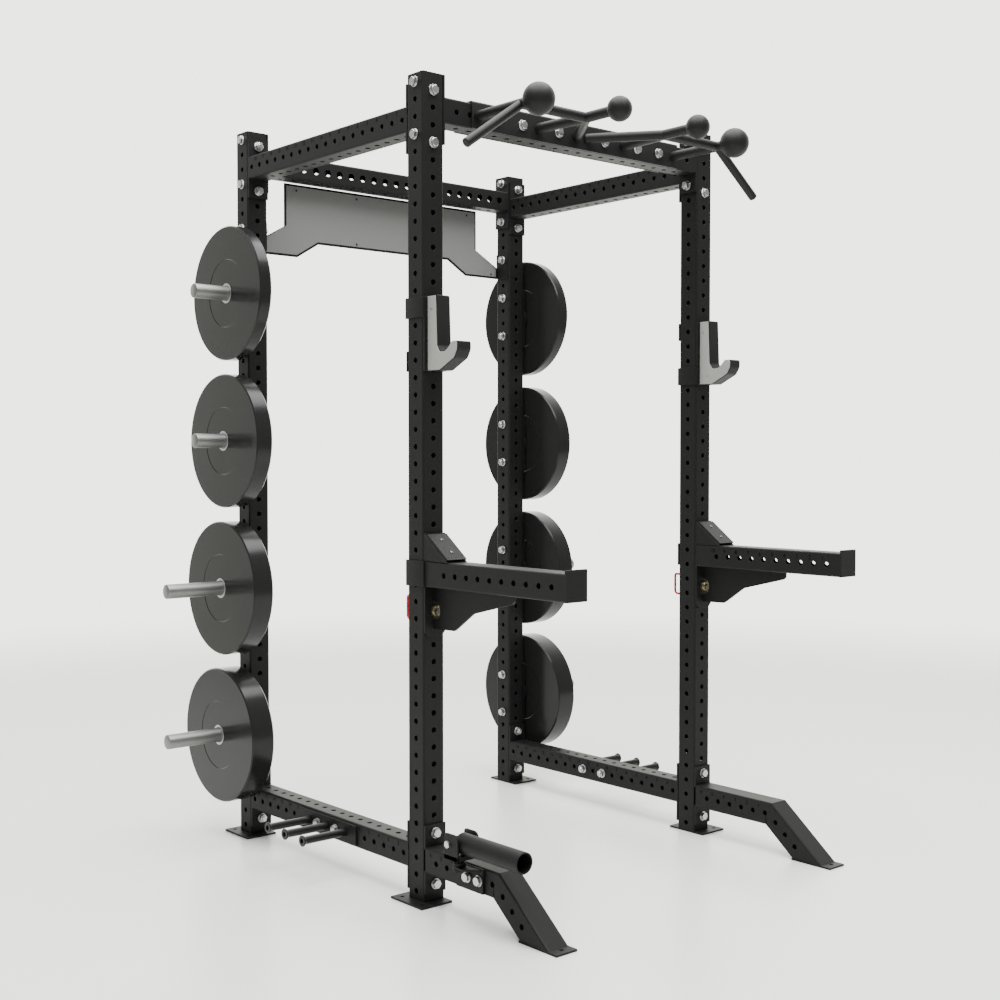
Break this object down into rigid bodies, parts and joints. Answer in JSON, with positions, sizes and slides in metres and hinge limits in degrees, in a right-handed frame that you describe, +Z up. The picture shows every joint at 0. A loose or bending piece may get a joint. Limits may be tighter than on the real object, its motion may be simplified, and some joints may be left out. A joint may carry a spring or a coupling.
{
  "type": "power rack",
  "caption": "Steel power rack with storage sleeves and bumper plates, J-cups, spotter arms, ball-grip pull-up bar, band pegs and a landmine on one foot.",
  "frame": {"origin": "on the floor, in the middle of the overall box", "axes": "+X to the right seen from the front, +Y to the rear, +Z up; the front has the spotter arms and the feet"},
  "size_m": [1.87, 1.8682, 2.4448],
  "materials": {
    "frame": "satin black powder coat",
    "grips": "satin black powder coat",
    "plug": "moulded black plastic",
    "name_face": "mid grey paint",
    "sleeves": "bright turned steel",
    "pegs": "satin black coating",
    "bolts": "bright zinc",
    "pad": "black wear plastic",
    "zinc": "dull yellow zinc",
    "red": "red dipped coating",
    "pins": "dark steel",
    "cup_cheek": "light grey wear plastic",
    "cup_liner": "black wear plastic",
    "rubber": "smooth black rubber with a slight gloss",
    "hub": "bright steel"
  },
  "bodies": {
    "rack": {"upright_front_left": "frame", "upright_front_right": "frame", "upright_rear_left": "frame", "upright_rear_right": "frame", "upright_caps": "plug", "crossmember_front_top": "frame", "crossmember_rear_top": "frame", "crossmember_left_top": "frame", "crossmember_right_top": "frame", "crossmember_left_bottom": "frame", "crossmember_right_bottom": "frame", "front_foot_left": "frame", "front_foot_right": "frame", "name_plate_backing": "frame", "name_plate_face": "name_face", "pull_up_saddle": "grips", "grip_tubes": "grips", "grip_balls": "grips", "small_screws": "bolts", "storage_flanges": "frame", "storage_sleeves": "sleeves", "band_peg_brackets": "frame", "band_pegs": "pegs", "frame_bolts": "bolts", "frame_washers": "bolts", "frame_nuts": "bolts", "spotter_arm_left": "frame", "spotter_arm_right": "frame", "spotter_pads": "pad", "spotter_pin_collars": "zinc", "landmine_base": "frame"},
    "jcup_left": {"jcup_bracket_left": "frame", "jcup_cheeks_left": "cup_cheek", "jcup_liner_left": "cup_liner"},
    "locking_pin_left": {"spotter_pin_left": "pins", "spotter_pin_handle_left": "red"},
    "bumper_left_1": {"plate_left_1": "rubber", "hub_left_1": "hub"},
    "bumper_left_2": {"plate_left_2": "rubber", "hub_left_2": "hub"},
    "bumper_left_3": {"plate_left_3": "rubber", "hub_left_3": "hub"},
    "bumper_left_4": {"plate_left_4": "rubber", "hub_left_4": "hub"},
    "jcup_right": {"jcup_bracket_right": "frame", "jcup_cheeks_right": "cup_cheek", "jcup_liner_right": "cup_liner"},
    "locking_pin_right": {"spotter_pin_right": "pins", "spotter_pin_handle_right": "red"},
    "bumper_right_1": {"plate_right_1": "rubber", "hub_right_1": "hub"},
    "bumper_right_2": {"plate_right_2": "rubber", "hub_right_2": "hub"},
    "bumper_right_3": {"plate_right_3": "rubber", "hub_right_3": "hub"},
    "bumper_right_4": {"plate_right_4": "rubber", "hub_right_4": "hub"},
    "swivel": {"landmine_yoke": "frame", "landmine_pivot_bolt": "bolts"},
    "sleeve": {"landmine_sleeve": "frame"}
  },
  "joints": [
    {"name": "jcup_left_twist", "type": "hinge", "parent": "rack", "child": "jcup_left", "pos_m": [-0.5969, -0.32455, 1.68275], "axis": [0, -1, 0], "range_deg": [0, 90]},
    {"name": "locking_pin_left_pull", "type": "slide", "parent": "rack", "child": "locking_pin_left", "axis": [0, 1, 0], "range_m": [0, 0.11]},
    {"name": "jcup_right_twist", "type": "hinge", "parent": "rack", "child": "jcup_right", "pos_m": [0.5969, -0.32455, 1.68275], "axis": [0, 1, 0], "range_deg": [0, 90]},
    {"name": "locking_pin_right_pull", "type": "slide", "parent": "rack", "child": "locking_pin_right", "axis": [0, 1, 0], "range_m": [0, 0.11]},
    {"name": "landmine_swivel", "type": "hinge", "parent": "rack", "child": "swivel", "pos_m": [-0.66, -0.52115, 0.19], "axis": [0, 0, 1], "range_deg": [-90, 90]},
    {"name": "landmine_tilt", "type": "hinge", "parent": "swivel", "child": "sleeve", "pos_m": [-0.66, -0.52115, 0.234], "axis": [-1, 0, 0], "range_deg": [0, 80]},
    {"name": "bumper_left_1_slide", "type": "slide", "parent": "rack", "child": "bumper_left_1", "axis": [-1, 0, 0], "range_m": [0, 0.17]},
    {"name": "bumper_left_2_slide", "type": "slide", "parent": "rack", "child": "bumper_left_2", "axis": [-1, 0, 0], "range_m": [0, 0.17]},
    {"name": "bumper_left_3_slide", "type": "slide", "parent": "rack", "child": "bumper_left_3", "axis": [-1, 0, 0], "range_m": [0, 0.28]},
    {"name": "bumper_left_4_slide", "type": "slide", "parent": "rack", "child": "bumper_left_4", "axis": [-1, 0, 0], "range_m": [0, 0.28]},
    {"name": "bumper_right_1_slide", "type": "slide", "parent": "rack", "child": "bumper_right_1", "axis": [1, 0, 0], "range_m": [0, 0.17]},
    {"name": "bumper_right_2_slide", "type": "slide", "parent": "rack", "child": "bumper_right_2", "axis": [1, 0, 0], "range_m": [0, 0.17]},
    {"name": "bumper_right_3_slide", "type": "slide", "parent": "rack", "child": "bumper_right_3", "axis": [1, 0, 0], "range_m": [0, 0.28]},
    {"name": "bumper_right_4_slide", "type": "slide", "parent": "rack", "child": "bumper_right_4", "axis": [1, 0, 0], "range_m": [0, 0.28]}
  ]
}
